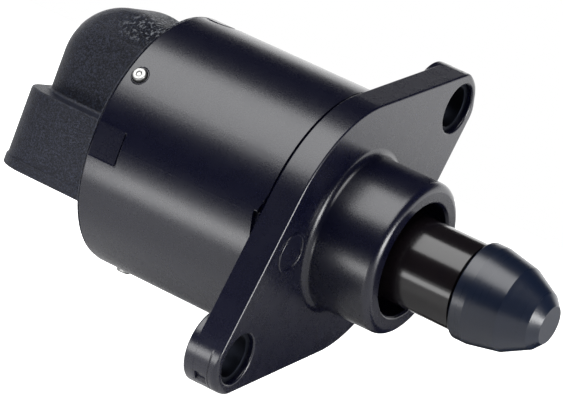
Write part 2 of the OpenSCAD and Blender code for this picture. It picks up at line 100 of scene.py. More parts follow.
class Skin:
    """A closed skin gathered from patches of points, faces and normals, in millimetres."""

    def __init__(self):
        self.points, self.normals, self.quads, self.count = [], [], [], 0

    def add(self, points, normals, faces):
        """Keeps points, their normals and faces of four corners. A triangle repeats its
        last corner."""
        self.points.append(points)
        self.normals.append(normals)
        self.quads.append(faces + self.count)
        self.count += len(points)

    def grid(self, points, normals, flip=False):
        """A surface f(u, v) sampled on rows and columns, with its normals. The faces look
        along (column x row), or the other way when flipped."""
        rows, cols = points.shape[:2]
        at = np.arange(rows * cols).reshape(rows, cols)
        corner = [at[:-1, :-1], at[:-1, 1:], at[1:, 1:], at[1:, :-1]]
        faces = np.stack(corner[::-1] if flip else corner, axis=2).reshape(-1, 4)
        self.add(points.reshape(-1, 3), normals.reshape(-1, 3), faces)

    def flat(self, loops, normal):
        """A flat face: the first loop of points less the other loops, in triangles."""
        points, normal = np.concatenate(loops), np.array(normal, float)
        fill = tessellate_polygon([[Vector(p) for p in loop] for loop in loops])
        faces = np.array(fill)
        a, b, c = (points[faces[:, k]] for k in range(3))
        wrong = np.einsum("ij,j->i", np.cross(b - a, c - a), normal) < 0
        faces[wrong] = faces[wrong][:, ::-1]
        faces = np.column_stack([faces, faces[:, 2]])
        self.add(points, np.tile(normal, (len(points), 1)), faces)

    def piece(self, name):
        """Welds the patches, drops faces without area and writes the mesh in metres."""
        points, normals = np.concatenate(self.points), np.concatenate(self.normals)
        faces = np.concatenate(self.quads)
        _, first, weld = np.unique(
            np.round(points, 5), axis=0, return_index=True, return_inverse=True
        )
        weld = weld.reshape(-1)
        corners = weld[faces]
        fresh = corners != np.roll(corners, 1, axis=1)
        fresh &= ~((corners == np.roll(corners, 2, axis=1)) & (np.arange(4) > 1))
        keep = fresh.sum(1) >= 3
        faces, corners, fresh = faces[keep], corners[keep], fresh[keep]
        total = fresh.sum(1)
        mesh = bpy.data.meshes.new(name)
        mesh.vertices.add(len(first))
        mesh.vertices.foreach_set("co", (points[first] * MM).astype(np.float32).ravel())
        mesh.loops.add(int(total.sum()))
        mesh.loops.foreach_set("vertex_index", corners[fresh].astype(np.int32))
        mesh.polygons.add(len(total))
        starts = np.concatenate([[0], np.cumsum(total)[:-1]])
        mesh.polygons.foreach_set("loop_start", starts.astype(np.int32))
        mesh.polygons.foreach_set("use_smooth", np.ones(len(total), bool))
        mesh.update(calc_edges=True)
        mesh.validate()
        mesh.normals_split_custom_set(normals[faces[fresh]])
        made = bpy.data.objects.new(name, mesh)
        bpy.context.scene.collection.objects.link(made)
        edges = np.sort(
            np.stack([corners, np.roll(corners, -1, axis=1)], axis=2), axis=2
        ).reshape(-1, 2)
        edges = edges[edges[:, 0] != edges[:, 1]]
        _, times = np.unique(edges, axis=0, return_counts=True)
        print(f"{name}: {len(total)} faces, {int((times % 2).sum())} open edges")
        return made


# %% [markdown]
# Most of the valve is turned: an outline of distance along the axis against radius,
# swept once round. A real edge is never perfectly sharp, so each corner of the
# outline may name a radius, and the arc brings its normals with it.


# %% Turned outlines
def outline(corners, steps=5):
    """Points and normals of straight runs joined by arcs. A corner is (x, r, rounding);
    the arc starts rounding * tan(turn / 2) before it. The material lies right of travel."""
    c = np.array(corners, float)
    at, radius = c[:, :2], c[:, 2]
    run = np.diff(at, axis=0)
    run /= np.linalg.norm(run, axis=1, keepdims=True)
    side = np.stack([-run[:, 1], run[:, 0]], axis=1)
    points, normals = [at[:1]], [side[:1]]
    for k in range(1, len(at) - 1):
        a, b = side[k - 1], side[k]
        bend = run[k - 1][0] * run[k][1] - run[k - 1][1] * run[k][0]
        turn = np.arctan2(abs(bend), run[k - 1] @ run[k])
        if radius[k] == 0 or turn < 1e-6:
            points.append(np.array([at[k], at[k]]))
            normals.append(np.array([a, b]))
            continue
        w = np.linspace(0, 1, steps + 1)[:, None]
        n = (np.sin((1 - w) * turn) * a + np.sin(w * turn) * b) / np.sin(turn)
        start = at[k] - run[k - 1] * radius[k] * np.tan(turn / 2)
        out = 1 if bend < 0 else -1
        points.append(start - out * a * radius[k] + out * n * radius[k])
        normals.append(n)
    points.append(at[-1:])
    normals.append(side[-1:])
    return np.concatenate(points), np.concatenate(normals)


def turned(skin, corners, angles, steps=5):
    """Sweeps an outline round X: (x, r cos a, r sin a), with its normals turned alike."""
    p, n = outline(corners, steps)
    ca, sa = np.cos(angles)[None, :], np.sin(angles)[None, :]
    points = np.stack([p[:, :1] + 0 * ca, p[:, 1:] * ca, p[:, 1:] * sa], axis=2)
    normals = np.stack([n[:, :1] + 0 * ca, n[:, 1:] * ca, n[:, 1:] * sa], axis=2)
    skin.grid(points, normals)
    return points


FULL_TURN, SMALL_TURN = np.linspace(0, 2 * np.pi, 145), np.linspace(0, 2 * np.pi, 49)

# %% [markdown]
# ## The housing
# The barrel, the two-ear plate and the collar are one black moulding. On the real one
# the barrel isn't a plain cylinder: a witness groove runs behind the plate and opens
# into a slot at the parting line, a shallow keyed patch breaks the rear edge, a fine
# parting line joins them, and an ejector pin has left a round mark on top. Displacing a
# finished cylinder would blur such small forms. So the barrel's outside is a height
# field over distance and angle, with extra samples where something happens, and the
# rest of the moulding is turned or filled round it.


# %% Soft steps and stations
def ramp(value, low, high):
    """0 below low, 1 above high and an S-shaped rise between."""
    t = np.clip((value - low) / (high - low), 0, 1)
    return t * t * (3 - 2 * t)


def band(value, low, high, soft):
    """1 between low and high, falling to 0 over soft outside them."""
    return ramp(value, low - soft, low) * (1 - ramp(value, high, high + soft))


def samples(coarse, *fine):
    """One sorted list of stations from a coarse list and (start, end, count) fine ones."""
    extra = [np.linspace(*f) for f in fine]
    return np.unique(np.round(np.concatenate([coarse, *extra]), 6))


# %% Small forms of the barrel
# A pair is (from, to), in degrees where the name says so and otherwise along the axis.
RIM = 0.25
GROOVE_W, GROOVE_DEPTH = 0.2, 0.35
SLOT_DEG, SLOT_DEPTH, SLOT_RISE_DEG, SLOT_WIDEST_DEG = (171, 196), 0.7, (170, 178), 179
SLOT_RISE_W, SLOT_FALL_DEG = 0.5, 16
RIDGE_X, RIDGE_DEG, RIDGE_H = (-PLATE_T - 0.45, -PLATE_T - 0.38), (173, 190), 0.5
PATCH_X, PATCH_DEG = (REAR_X - 1, REAR_X + 4.5), (172.5, 187.5)
PATCH_MIDDLE_DEG, PATCH_FLAT_R = 180.5, 17.4287
PATCH_EDGE_X, PATCH_EDGE_DEG = (REAR_X + 4.36, REAR_X + 4.52), (173.2, 187.5)
PATCH_EDGE_DEPTH = 0.25
FLASH_X, FLASH_DEG, FLASH_H = (REAR_X + 4.7, -5.6), (179.97, 180.03), 0.006
MARK_X, MARK_ANGLE, MARK_DEPTH = -29.2, np.radians(85), 0.09
MARK_INNER_R, MARK_OUTER_R = (2.0, 2.1), (2.25, 2.85)
WELL_R, WELL_DEPTH = (PIN_R + 0.13, PIN_R + 0.25), 0.4

barrel_angles = np.radians(samples(
    np.linspace(0, 360, 145), (170, 199, 78), (73, 93, 34),
    *[(np.degrees(a) - 6, np.degrees(a) + 6, 21) for a in PIN_ANGLES],
))
barrel_stations = samples(
    np.linspace(REAR_X + RIM, -PLATE_T, 24),
    (REAR_X + RIM, REAR_X + 5.4, 68), (REAR_X + 4.2, REAR_X + 4.7, 14),
    (-5.9, -PLATE_T, 37),
)
print("barrel stations", len(barrel_stations), "angles", len(barrel_angles))


# %% The barrel's outside
def away_from(x, angle, at_x, at_angle):
    """Distance over the barrel from a point on it: along the axis and, as the sine of the
    angle times the radius, across. Also whether a place is on the point's side."""
    across = BARREL_R * np.sin(angle - at_angle)
    return np.hypot(x - at_x, across), np.cos(angle - at_angle) > 0


def barrel_radius(x, angle):
    """The barrel's radius: its nominal one, less the witness groove and the slot that it
    opens into, less the keyed patch, the round mark and the pins' wells, plus a ridge in
    the slot and the parting line's thread of flash."""
    deg = np.degrees(angle)
    rise = SLOT_RISE_W * ramp(deg, *SLOT_RISE_DEG)
    fall = np.clip((SLOT_DEG[1] - deg) / SLOT_FALL_DEG, 0, 1)
    slot_w = np.where(deg < SLOT_WIDEST_DEG, rise, fall) * band(deg, *SLOT_DEG, 0.5)
    groove = band(x, -PLATE_T - GROOVE_W - slot_w, 0, 0.05)
    ridge = band(x, *RIDGE_X, 0.05) * band(deg, *RIDGE_DEG, 0.5)
    groove_depth = np.where(slot_w > 0, SLOT_DEPTH, GROOVE_DEPTH) - RIDGE_H * ridge
    patch = band(x, *PATCH_X, 0.08) * band(deg, *PATCH_DEG, 0.25)
    from_middle = np.radians(np.clip(deg - PATCH_MIDDLE_DEG, -10, 10))
    patch_depth = BARREL_R - PATCH_FLAT_R / np.cos(from_middle)
    edge = band(x, *PATCH_EDGE_X, 0.04) * band(deg, *PATCH_EDGE_DEG, 0.3)
    flash = band(deg, *FLASH_DEG, 0.12) * band(x, *FLASH_X, 0.3)
    depth = groove_depth * groove + patch_depth * patch + PATCH_EDGE_DEPTH * edge
    depth -= FLASH_H * flash
    away, near = away_from(x, angle, MARK_X, MARK_ANGLE)
    mark = ramp(away, *MARK_INNER_R) * (1 - ramp(away, *MARK_OUTER_R))
    depth += MARK_DEPTH * mark * near
    for pin in PIN_ANGLES:
        away, near = away_from(x, angle, PIN_X, pin)
        depth += WELL_DEPTH * (1 - ramp(away, *WELL_R)) * near
    return BARREL_R - depth


housing = Skin()
x, a = np.meshgrid(barrel_stations, barrel_angles, indexing="ij")
r = barrel_radius(x, a)
barrel_skin = np.stack([x, r * np.cos(a), r * np.sin(a)], axis=2)
housing.grid(barrel_skin, slopes(barrel_skin))
print("barrel grid", barrel_skin.shape)

# %% [markdown]
# The rear rim follows the height field: from each point of the first row an arc turns
# inwards. The inside is turned: bore, front wall, bearing seat and the collar's bore,
# and the same outline goes on over the collar, down to the hollow fillet at its foot.

# %% The rim
turn_in = np.linspace(0, np.pi / 2, 6)[:, None]
rim_r = barrel_radius(np.full_like(barrel_angles, REAR_X + RIM), barrel_angles)[None, :]
rim = np.stack([
    REAR_X + RIM - RIM * np.sin(turn_in) + 0 * rim_r,
    (rim_r - RIM * (1 - np.cos(turn_in))) * np.cos(barrel_angles),
    (rim_r - RIM * (1 - np.cos(turn_in))) * np.sin(barrel_angles),
], axis=2)
rim_normal = np.stack([
    -np.sin(turn_in) + 0 * rim_r,
    np.cos(turn_in) * np.cos(barrel_angles),
    np.cos(turn_in) * np.sin(barrel_angles),
], axis=2)
housing.grid(rim, rim_normal, flip=True)
BORE_EDGE_R = BORE_R + 0.15
inner_edge = np.stack([
    np.full_like(barrel_angles, REAR_X),
    BORE_EDGE_R * np.cos(barrel_angles), BORE_EDGE_R * np.sin(barrel_angles),
], axis=1)
rear_face = np.stack([rim[-1], inner_edge])
housing.grid(rear_face, np.tile([-1.0, 0, 0], rear_face.shape[:2] + (1,)), flip=True)
print("rim rows", len(rim))

# %% Collar and inside
FOOT_R, COLLAR_ROUND, LEAD_IN, LEAD_IN_LEN = 1.0, 1.1, 0.25, 0.35
SEAT_FLOOR_X, SEAT_END_X, SEAT_R, SEAT_OUTER_R = -3.5, -11, 9.25, 10.55
BREAK, CORNER = 0.1, 0.4
collar = turned(housing, [
    (0, COLLAR_R + FOOT_R, 0), (0, COLLAR_R, FOOT_R), (COLLAR_END, COLLAR_R, COLLAR_ROUND),
    (COLLAR_END, COLLAR_BORE_R + LEAD_IN, LEAD_IN),
    (COLLAR_END - LEAD_IN_LEN, COLLAR_BORE_R, BREAK), (SEAT_FLOOR_X, COLLAR_BORE_R, BREAK),
    (SEAT_FLOOR_X, SEAT_R, BREAK), (SEAT_END_X, SEAT_R, BREAK),
    (SEAT_END_X, SEAT_OUTER_R, BREAK), (-PLATE_T, SEAT_OUTER_R, CORNER),
    (-PLATE_T, BORE_R, CORNER), (REAR_X, BORE_R, 0), (REAR_X, BORE_EDGE_R, 0),
], barrel_angles, steps=6)
print("collar grid", collar.shape)

# %% [markdown]
# The plate's edge is an outline of two big arcs and two small ones joined by their
# tangents. Moving an outline like that inwards keeps its normals, so the rounding of
# the front and rear edges is the same outline, inset along an arc. Round each ear's
# end the front edge is rounder, behind a fine step, and the lower ear's end has the
# small pocket of the gate.


# %% The plate's outline
NOT_THERE = 9.0


def plate_outline():
    """Points and normals of the plate's edge in the Y-Z plane, anticlockwise from the upper
    ear: each is an arc's centre plus its radius along the normal. Also how far the normal
    turns from its ear's direction, and the same on the lower ear alone, with its sign."""
    tilt = np.arccos((PLATE_R - EAR_R) / EAR_Y)
    ear = np.linspace(-tilt, tilt, 101)
    mid = np.linspace(tilt, np.pi - tilt, 45)
    parts = []
    for side in (0, np.pi):
        parts.append((np.full_like(ear, EAR_Y), np.full_like(ear, EAR_R), ear, side))
        parts.append((np.zeros_like(mid), np.full_like(mid, PLATE_R), mid, side))
    centre, radius, angle, side = (
        np.concatenate([np.broadcast_to(p[k], p[0].shape) for p in parts]) for k in range(4)
    )
    flat = EAR_ANGLE + side + angle
    normal = np.stack([np.cos(flat), np.sin(flat)], axis=1)
    ear_axis = np.stack([np.cos(EAR_ANGLE + side), np.sin(EAR_ANGLE + side)], axis=1)
    at = ear_axis * centre[:, None] + normal * radius[:, None]
    on_ear = np.where(centre > 0, np.abs(angle), np.pi / 2)
    lower = (side > 1) & (centre > 0)
    return at, normal, on_ear, np.where(lower, angle, NOT_THERE)


def closed(values):
    """Repeats the first row at the end, so that a loop closes."""
    return np.concatenate([values, values[:1]])


edge_at, edge_normal, from_ear, lower_ear = (closed(v) for v in plate_outline())
FRONT_ROUND, EAR_ROUND, REAR_ROUND = 0.3, 0.92, 0.2
at_end = 1 - ramp(from_ear, 0.35, 0.95)
round_front = FRONT_ROUND + (EAR_ROUND - FRONT_ROUND) * at_end
print("plate outline", len(edge_at), "points")

# %% The plate's edge
STEP_X, STEP_DEPTH, STEP_SOFT = (-1.32, -1.22), 0.1, 0.05
POCKET_X, POCKET_ACROSS, POCKET_DEPTH, POCKET_SOFT = (-3.2, -1.65), (-0.85, 0.75), 0.45, 0.06
quarter = np.linspace(0, np.pi / 2, 8)[:, None]
middle = slice(len(quarter), -len(quarter))
side_x = samples(np.linspace(-3.9, -1.5, 7), (-1.5, -0.95, 12), (-3.4, -1.5, 26))[::-1, None]
front_x = -round_front[None, :] * (1 - np.cos(quarter))
front_inset = round_front[None, :] * (1 - np.sin(quarter))
rear_x = -PLATE_T + REAR_ROUND * (1 - np.sin(quarter)) + 0 * round_front
rear_inset = REAR_ROUND * (1 - np.cos(quarter)) + 0 * round_front
step_line = band(side_x, *STEP_X, STEP_SOFT) * (1 - ramp(from_ear, 0.75, 1.0))[None, :]
pocket = band(side_x, *POCKET_X, POCKET_SOFT)
pocket = pocket * band(lower_ear * EAR_R, *POCKET_ACROSS, POCKET_SOFT)[None, :]
side_inset = STEP_DEPTH * step_line + POCKET_DEPTH * pocket
strip_x = np.concatenate([front_x, np.minimum(side_x, -round_front[None, :]), rear_x])
strip_inset = np.concatenate([front_inset, side_inset, rear_inset])
strip = np.stack([
    strip_x,
    edge_at[None, :, 0] - strip_inset * edge_normal[None, :, 0],
    edge_at[None, :, 1] - strip_inset * edge_normal[None, :, 1],
], axis=2)
tip = np.concatenate([quarter, np.full_like(side_x, np.pi / 2), np.pi / 2 + quarter])
strip_normal = np.stack([
    np.cos(tip) + 0 * strip_x,
    np.sin(tip) * edge_normal[None, :, 0],
    np.sin(tip) * edge_normal[None, :, 1],
], axis=2)
carved = strip_inset[middle] > 0
beside = [np.roll(carved, step, axis) for axis in (0, 1) for step in (1, -1)]
carved |= np.logical_or.reduce(beside)
strip_normal[middle][carved] = -slopes(strip)[middle][carved]
housing.grid(strip, strip_normal, flip=True)
print("plate edge grid", strip.shape)

# %% [markdown]
# The front and rear faces are flat, with the collar or the barrel and the two bolt
# holes taken out. They are filled from the very points of the grids round them, so
# the weld closes the skin.


# %% The plate's faces and holes
HOLE_TURN = np.linspace(0, 2 * np.pi, 73)


def round_hole(centre, radius, x):
    """A loop round a hole in the plane of one x: (x, y + r cos t, z + r sin t)."""
    t = HOLE_TURN[:-1]
    y, z = centre[0] + radius * np.cos(t), centre[1] + radius * np.sin(t)
    return np.stack([np.full_like(t, x), y, z], axis=1)


ear_direction = np.array([np.cos(EAR_ANGLE), np.sin(EAR_ANGLE)])
ear_centres = [EAR_Y * side * ear_direction for side in (1, -1)]
HOLE_EDGE = 0.3
front_holes = [round_hole(c, HOLE_R + HOLE_EDGE, 0) for c in ear_centres]
rear_holes = [round_hole(c, HOLE_R, -PLATE_T) for c in ear_centres]
foot_loop, groove_loop = collar[0][:-1], barrel_skin[-1][:-1]
housing.flat([strip[0][:-1], foot_loop, *front_holes], (1, 0, 0))
housing.flat([strip[-1][:-1], groove_loop, *rear_holes], (-1, 0, 0))
t, w = HOLE_TURN[None, :], np.linspace(0, np.pi / 2, 6)[:, None]
hole_r = np.concatenate([HOLE_R + HOLE_EDGE * (1 - np.sin(w)), [[HOLE_R]]])
hole_x = np.concatenate([-HOLE_EDGE * (1 - np.cos(w)), [[-PLATE_T]]])
lean = np.concatenate([w, [[np.pi / 2]]])
for c in ear_centres:
    wall = np.stack([
        hole_x + 0 * t, c[0] + hole_r * np.cos(t), c[1] + hole_r * np.sin(t)
    ], axis=2)
    wall_normal = np.stack([
        np.cos(lean) + 0 * t, -np.sin(lean) * np.cos(t), -np.sin(lean) * np.sin(t)
    ], axis=2)
    housing.grid(wall, wall_normal)
print("bolt holes at", *(np.round(c, 2) for c in ear_centres))


# %% [markdown]
# Behind each ear stands a round boss, each lock pin is staked, with a ring of plastic
# pushed up round it, and a thin ring stands on the plate's face. All are turned shapes
# with an axis of their own, so they are made round X and carried there. They reach a
# little into the moulding.


# %% Bosses and rings
def placed(skin, corners, matrix, shift, angles=FULL_TURN):
    """Adds a turned shape to a skin after a turn by a matrix and a shift."""
    part = Skin()
    turned(part, corners, angles)
    skin.add(part.points[0] @ matrix.T + shift, part.normals[0] @ matrix.T, part.quads[0])


# HAIR is the clearance between a pin or a sleeve and the plastic round it.
UPRIGHT, HAIR, BOSS_ROOT_X = np.eye(3), 0.02, -3.5
for c in ear_centres:
    placed(housing, [
        (BOSS_ROOT_X, HOLE_R + HAIR, 0), (BOSS_X, HOLE_R + HAIR, 0.15),
        (BOSS_X, BOSS_R, 0.3), (BOSS_ROOT_X, BOSS_R, 0), (BOSS_ROOT_X, HOLE_R + HAIR, 0),
    ], UPRIGHT, np.array([0, c[0], c[1]]))


def outwards(angle):
    """Columns that carry the X axis to the barrel's radius at an angle."""
    c, s = np.cos(angle), np.sin(angle)
    return np.array([[0, 0, 1.0], [c, -s, 0], [s, c, 0]])


STAKE_ROOT, STAKE_TOP, STAKE_R = BARREL_R - 1, BARREL_R + 0.1, PIN_R + 0.3
for angle in PIN_ANGLES:
    placed(housing, [
        (STAKE_ROOT, PIN_R + HAIR, 0), (STAKE_ROOT, STAKE_R, 0), (STAKE_TOP, STAKE_R, 0.12),
        (BARREL_R + 0.02, PIN_R + 0.12, 0.1), (BARREL_R - 0.25, PIN_R + HAIR, 0),
        (STAKE_ROOT, PIN_R + HAIR, 0),
    ], outwards(angle), np.array([PIN_X, 0, 0]), SMALL_TURN)

RING_ROOT, RING_TOP, RING_R, RING_OUTER_R, RING_ROUND = -0.2, 0.18, 2.35, 2.8, 0.16
RING_CENTRE = np.array([0, -14.3, -3.1])
placed(housing, [
    (RING_ROOT, RING_R, 0), (RING_TOP, RING_R, RING_ROUND),
    (RING_TOP, RING_OUTER_R, RING_ROUND), (RING_ROOT, RING_OUTER_R, 0),
    (RING_ROOT, RING_R, 0),
], UPRIGHT, RING_CENTRE)
housing_piece = housing.piece("housing_moulding")

# %% [markdown]
# ## The rear cap
# The cap is three closed forms that run into each other: a round plug in the barrel, a
# shroud that opens downwards round the contacts, and the hump over the bent
# terminals. One skin for all would need a seam fitted by hand round the hump's foot,
# while closed forms that overlap need none, and the leather grain hides where they meet.
# The hump is one outline in the X-Z plane: up the back, round a bend, and straight on to
# the barrel along the tangent. It is given a width and rounded over both long edges.

# %% Plug and disc
cap = Skin()
DISC_X, DISC_R = REAR_X - 0.3, BARREL_R - 0.1
PLUG_R, PLUG_X = BORE_R - 0.05, REAR_X + 5.3
DISC_END_X = REAR_X - 0.03
SEAL_X, SEAL_END_X, SEAL_R = PLUG_X - 1.8, PLUG_X - 0.5, PLUG_R - 1.25
BUSH_R, BUSH_X = 5.0, PLUG_X - 2.9
disc = turned(cap, [
    (DISC_X, 0, 0), (DISC_X, DISC_R, 0.1), (DISC_END_X, DISC_R, 0.08),
    (DISC_END_X, PLUG_R, 0), (SEAL_X, PLUG_R, 0), (SEAL_X, SEAL_R, 0),
    (SEAL_END_X, SEAL_R, 0), (SEAL_END_X, PLUG_R, 0), (PLUG_X, PLUG_R, 0.2),
    (PLUG_X, BUSH_R, 0.1), (BUSH_X, BUSH_R, 0), (BUSH_X, 0, 0),
], FULL_TURN)
print("plug grid", disc.shape)

# %% Hump
SHROUD_X, HUMP_X = REAR_X - 16.9, REAR_X - 15.9
HUMP_TOP, HUMP_FRONT_Z, HUMP_HALF = 15.2, 14.2, 8.0
HUMP_FRONT_X, HUMP_LOW_Z = REAR_X - 0.02, 0.2
BEND_R, EDGE_R = 8.5, 5.0
bend_x, bend_z = HUMP_X + BEND_R, HUMP_TOP - BEND_R
reach = np.array([HUMP_FRONT_X - bend_x, HUMP_FRONT_Z - bend_z])
leave = np.arctan2(reach[1], reach[0]) + np.arccos(BEND_R / np.hypot(*reach))
bend = np.linspace(np.pi, leave, 33)
back = np.linspace(HUMP_LOW_Z, bend_z, 14)[:-1]
fore = np.linspace(0, 1, 14)[1:]
spine = np.concatenate([
    np.stack([np.full_like(back, HUMP_X), back], axis=1),
    np.stack([bend_x + BEND_R * np.cos(bend), bend_z + BEND_R * np.sin(bend)], axis=1),
    np.stack([
        bend_x + BEND_R * np.cos(leave) * (1 - fore) + reach[0] * fore,
        bend_z + BEND_R * np.sin(leave) * (1 - fore) + reach[1] * fore,
    ], axis=1),
])
slope = np.gradient(spine, axis=0)
slope /= np.linalg.norm(slope, axis=1, keepdims=True)
spine_normal = np.stack([-slope[:, 1], slope[:, 0]], axis=1)
over = np.linspace(0, np.pi / 2, 17)
across_y = np.concatenate([
    -(HUMP_HALF - EDGE_R + EDGE_R * np.sin(over[::-1])),
    HUMP_HALF - EDGE_R + EDGE_R * np.sin(over),
])
across_tip = np.concatenate([-over[::-1], over])
inset = EDGE_R * (1 - np.cos(across_tip))[None, :]
hump = np.stack([
    spine[:, :1] - inset * spine_normal[:, :1],
    across_y[None, :] + 0 * spine[:, :1],
    spine[:, 1:] - inset * spine_normal[:, 1:],
], axis=2)
# The last row is pressed flat, so that it closes against the disc.
hump[-1, :, 0] = HUMP_FRONT_X
hump_normal = np.stack([
    np.cos(across_tip)[None, :] * spine_normal[:, :1],
    np.sin(across_tip)[None, :] + 0 * spine[:, :1],
    np.cos(across_tip)[None, :] * spine_normal[:, 1:],
], axis=2)
cap.grid(hump, hump_normal, flip=True)
foot_near = np.array([HUMP_FRONT_X, -HUMP_HALF, HUMP_LOW_Z])
foot_far = foot_near * [1, -1, 1]
cap.flat([np.vstack([hump[:, 0], foot_near])], (0, -1, 0))
cap.flat([np.vstack([hump[:, -1], foot_far])], (0, 1, 0))
cap.flat([np.vstack([hump[-1], foot_far, foot_near])], (1, 0, 0))
cap.flat([np.vstack([hump[0], foot_far, foot_near])], (0, 0, -1))
print("hump grid", hump.shape)


# %% Walls round a loop
def rounded_box(x0, x1, half_y, rear_r, front_r):
    """Points and normals of a rectangle seen from above, its rear and front corners round:
    each corner is a quarter circle, its centre plus its radius along the normal."""
    corner = np.array([[x1, half_y], [x0, half_y], [x0, -half_y], [x1, -half_y]], float)
    sign = np.array([[-1, -1], [1, -1], [1, 1], [-1, 1]])
    radius = np.array([front_r, rear_r, rear_r, front_r])[:, None]
    centre = corner + sign * radius
    t = np.linspace(0, np.pi / 2, 13)[None, :] + np.arange(4)[:, None] * np.pi / 2
    normal = np.stack([np.cos(t), np.sin(t)], axis=2)
    at = centre[:, None, :] + radius[:, None] * normal
    return closed(at.reshape(-1, 2)), closed(normal.reshape(-1, 2))


def wall_of(skin, loop, corners, keep_x=None):
    """Carries an outline of (z, outward distance, rounding) round a loop, and holds it
    between two distances along the axis where they are given."""
    at, normal = loop
    p, n = outline(corners)
    points = np.stack([
        at[None, :, 0] + p[:, 1:] * normal[None, :, 0],
        at[None, :, 1] + p[:, 1:] * normal[None, :, 1],
        p[:, :1] + 0 * at[None, :, 0],
    ], axis=2)
    normals = np.stack([
        n[:, 1:] * normal[None, :, 0], n[:, 1:] * normal[None, :, 1],
        n[:, :1] + 0 * at[None, :, 0],
    ], axis=2)
    if keep_x:
        points[..., 0] = np.clip(points[..., 0], *keep_x)
    skin.grid(points, normals)
    return points


# %% Shroud
LEDGE_Z, MOUTH_Z, SHROUD_HALF, LIP_H, LIP_OUT = 1.1, -9.9, 11.0, 1.4, 0.2
LIP_Z = MOUTH_Z + LIP_H
WALL, SOCKET_X, SOCKET_END_X, SOCKET_Z = 1.6, SHROUD_X + 2.0, REAR_X - 2.5, MOUTH_Z + 8.0
shroud = rounded_box(SHROUD_X, REAR_X, SHROUD_HALF, rear_r=4.8, front_r=1.8)
side = wall_of(cap, shroud, [
    (MOUTH_Z, -0.4, 0), (MOUTH_Z, LIP_OUT, 0.2), (LIP_Z, LIP_OUT, 0.12),
    (LIP_Z, 0.0, 0.08), (LEDGE_Z, 0.0, 0.35), (LEDGE_Z, -0.8, 0),
])
socket = rounded_box(
    SOCKET_X, SOCKET_END_X, SHROUD_HALF - WALL, rear_r=3.0, front_r=0.6
)
inner = wall_of(cap, socket, [
    (SOCKET_Z, -0.3, 0), (SOCKET_Z, 0, 0.15), (MOUTH_Z, 0, 0.2), (MOUTH_Z, 0.4, 0)
])
cap.flat([side[-1][:-1]], (0, 0, 1))
cap.flat([side[0][:-1], inner[-1][:-1]], (0, 0, -1))
cap.flat([inner[0][:-1]], (0, 0, -1))
print("shroud grid", side.shape, "socket grid", inner.shape)

# %% The fillet at the hump's foot
FILLET, FILLET_IN, FILLET_UNDER = 0.45, 0.1, 0.2
fillet_top, fillet_low = LEDGE_Z + FILLET, LEDGE_Z - FILLET_UNDER
foot = rounded_box(HUMP_X, REAR_X + 6, HUMP_HALF, EDGE_R, EDGE_R)
wall_of(cap, foot, [
    (LEDGE_Z, FILLET, 0), (LEDGE_Z, 0, FILLET), (fillet_top, 0, 0),
    (fillet_top, -FILLET_IN, 0), (fillet_low, -FILLET_IN, 0), (fillet_low, FILLET, 0),
    (LEDGE_Z, FILLET, 0),
], keep_x=(SHROUD_X + 0.05, REAR_X - 0.05))
cap_piece = cap.piece("rear_cap_moulding")

# %% [markdown]
# ## Pins, bushes and the pintle
# The lock pins are short steel rods, staked into the barrel's rear edge. Each bolt
# hole holds a sleeve. The pintle is a polished tube with a turned head: a lip, a
# gentle taper, the seat cone, a chamfer and a flat nose. Stacked cylinders and cones
# would leave doubled walls inside, so each is one outline, turned.

# %% Pins and bushes
pins = Skin()
PIN_TIP, PIN_ROOT = BARREL_R + 0.55, BORE_R - 1.6
DIMPLE, DIMPLE_R, DIMPLE_FLOOR_R = 0.12, 0.42, 0.3
for angle in PIN_ANGLES:
    placed(pins, [
        (PIN_ROOT, 0, 0), (PIN_ROOT, PIN_R, 0.1), (PIN_TIP, PIN_R, 0.22),
        (PIN_TIP, DIMPLE_R, 0.1), (PIN_TIP - DIMPLE, DIMPLE_FLOOR_R, 0.1),
        (PIN_TIP - DIMPLE, 0, 0),
    ], outwards(angle), np.array([PIN_X, 0, 0]), SMALL_TURN)
pins_piece = pins.piece("lock_pin_set")

bushes = Skin()
SLEEVE_FRONT, SLEEVE_BORE_R = span("mounting_bushes")[1][0], 2.8
for c in ear_centres:
    placed(bushes, [
        (SLEEVE_FRONT, HOLE_R, 0.12), (SLEEVE_FRONT, SLEEVE_BORE_R, 0.18),
        (BOSS_X, SLEEVE_BORE_R, 0.18), (BOSS_X, HOLE_R, 0.1), (SLEEVE_FRONT, HOLE_R, 0.1),
    ], UPRIGHT, np.array([0, c[0], c[1]]))
bushes_piece = bushes.piece("flange_bush_set")

# %% Pintle
STEM_X = span("pintle_stem")[0][0]
HEAD_X, NOSE_X = span("pintle_head")[0][0], span("pintle_head")[1][0]
STEM_R, STEM_BORE_R, STEM_FLOOR_X = 6, 4.6, HEAD_X - 3
NECK_R, NECK_X = 5.4, HEAD_X - 0.5
stem = Skin()
turned(stem, [
    (STEM_FLOOR_X, 0, 0), (STEM_FLOOR_X, STEM_BORE_R, 0.2), (STEM_X, STEM_BORE_R, 0.2),
    (STEM_X, STEM_R, 0.25), (NECK_X, STEM_R, 0.06), (NECK_X, NECK_R, 0.05),
    (HEAD_X, NECK_R, 0), (HEAD_X, 0, 0),
], FULL_TURN)
stem_piece = stem.piece("pintle_tube")
LIP_R, TAPER_R, CONE_R, NOSE_R, HEAD_EDGE = 6.675, 5.8, 3.9, 2.6, 0.12
lip_x, taper_x, cone_x = HEAD_X + 1.9, HEAD_X + 6.3, HEAD_X + 9.9
head = Skin()
turned(head, [
    (HEAD_X, 0, 0), (HEAD_X, LIP_R, 0.25), (lip_x, LIP_R, 0.2),
    (taper_x, TAPER_R, HEAD_EDGE), (cone_x, CONE_R, HEAD_EDGE),
    (NOSE_X, NOSE_R, HEAD_EDGE), (NOSE_X, 0, 0),
], FULL_TURN)
head_piece = head.piece("pintle_cone")

# %% [markdown]
# ## What carries what
# Each piece rides on the body that moves it and takes the place of its node. The
# nodes that are hidden inside keep their own shapes.

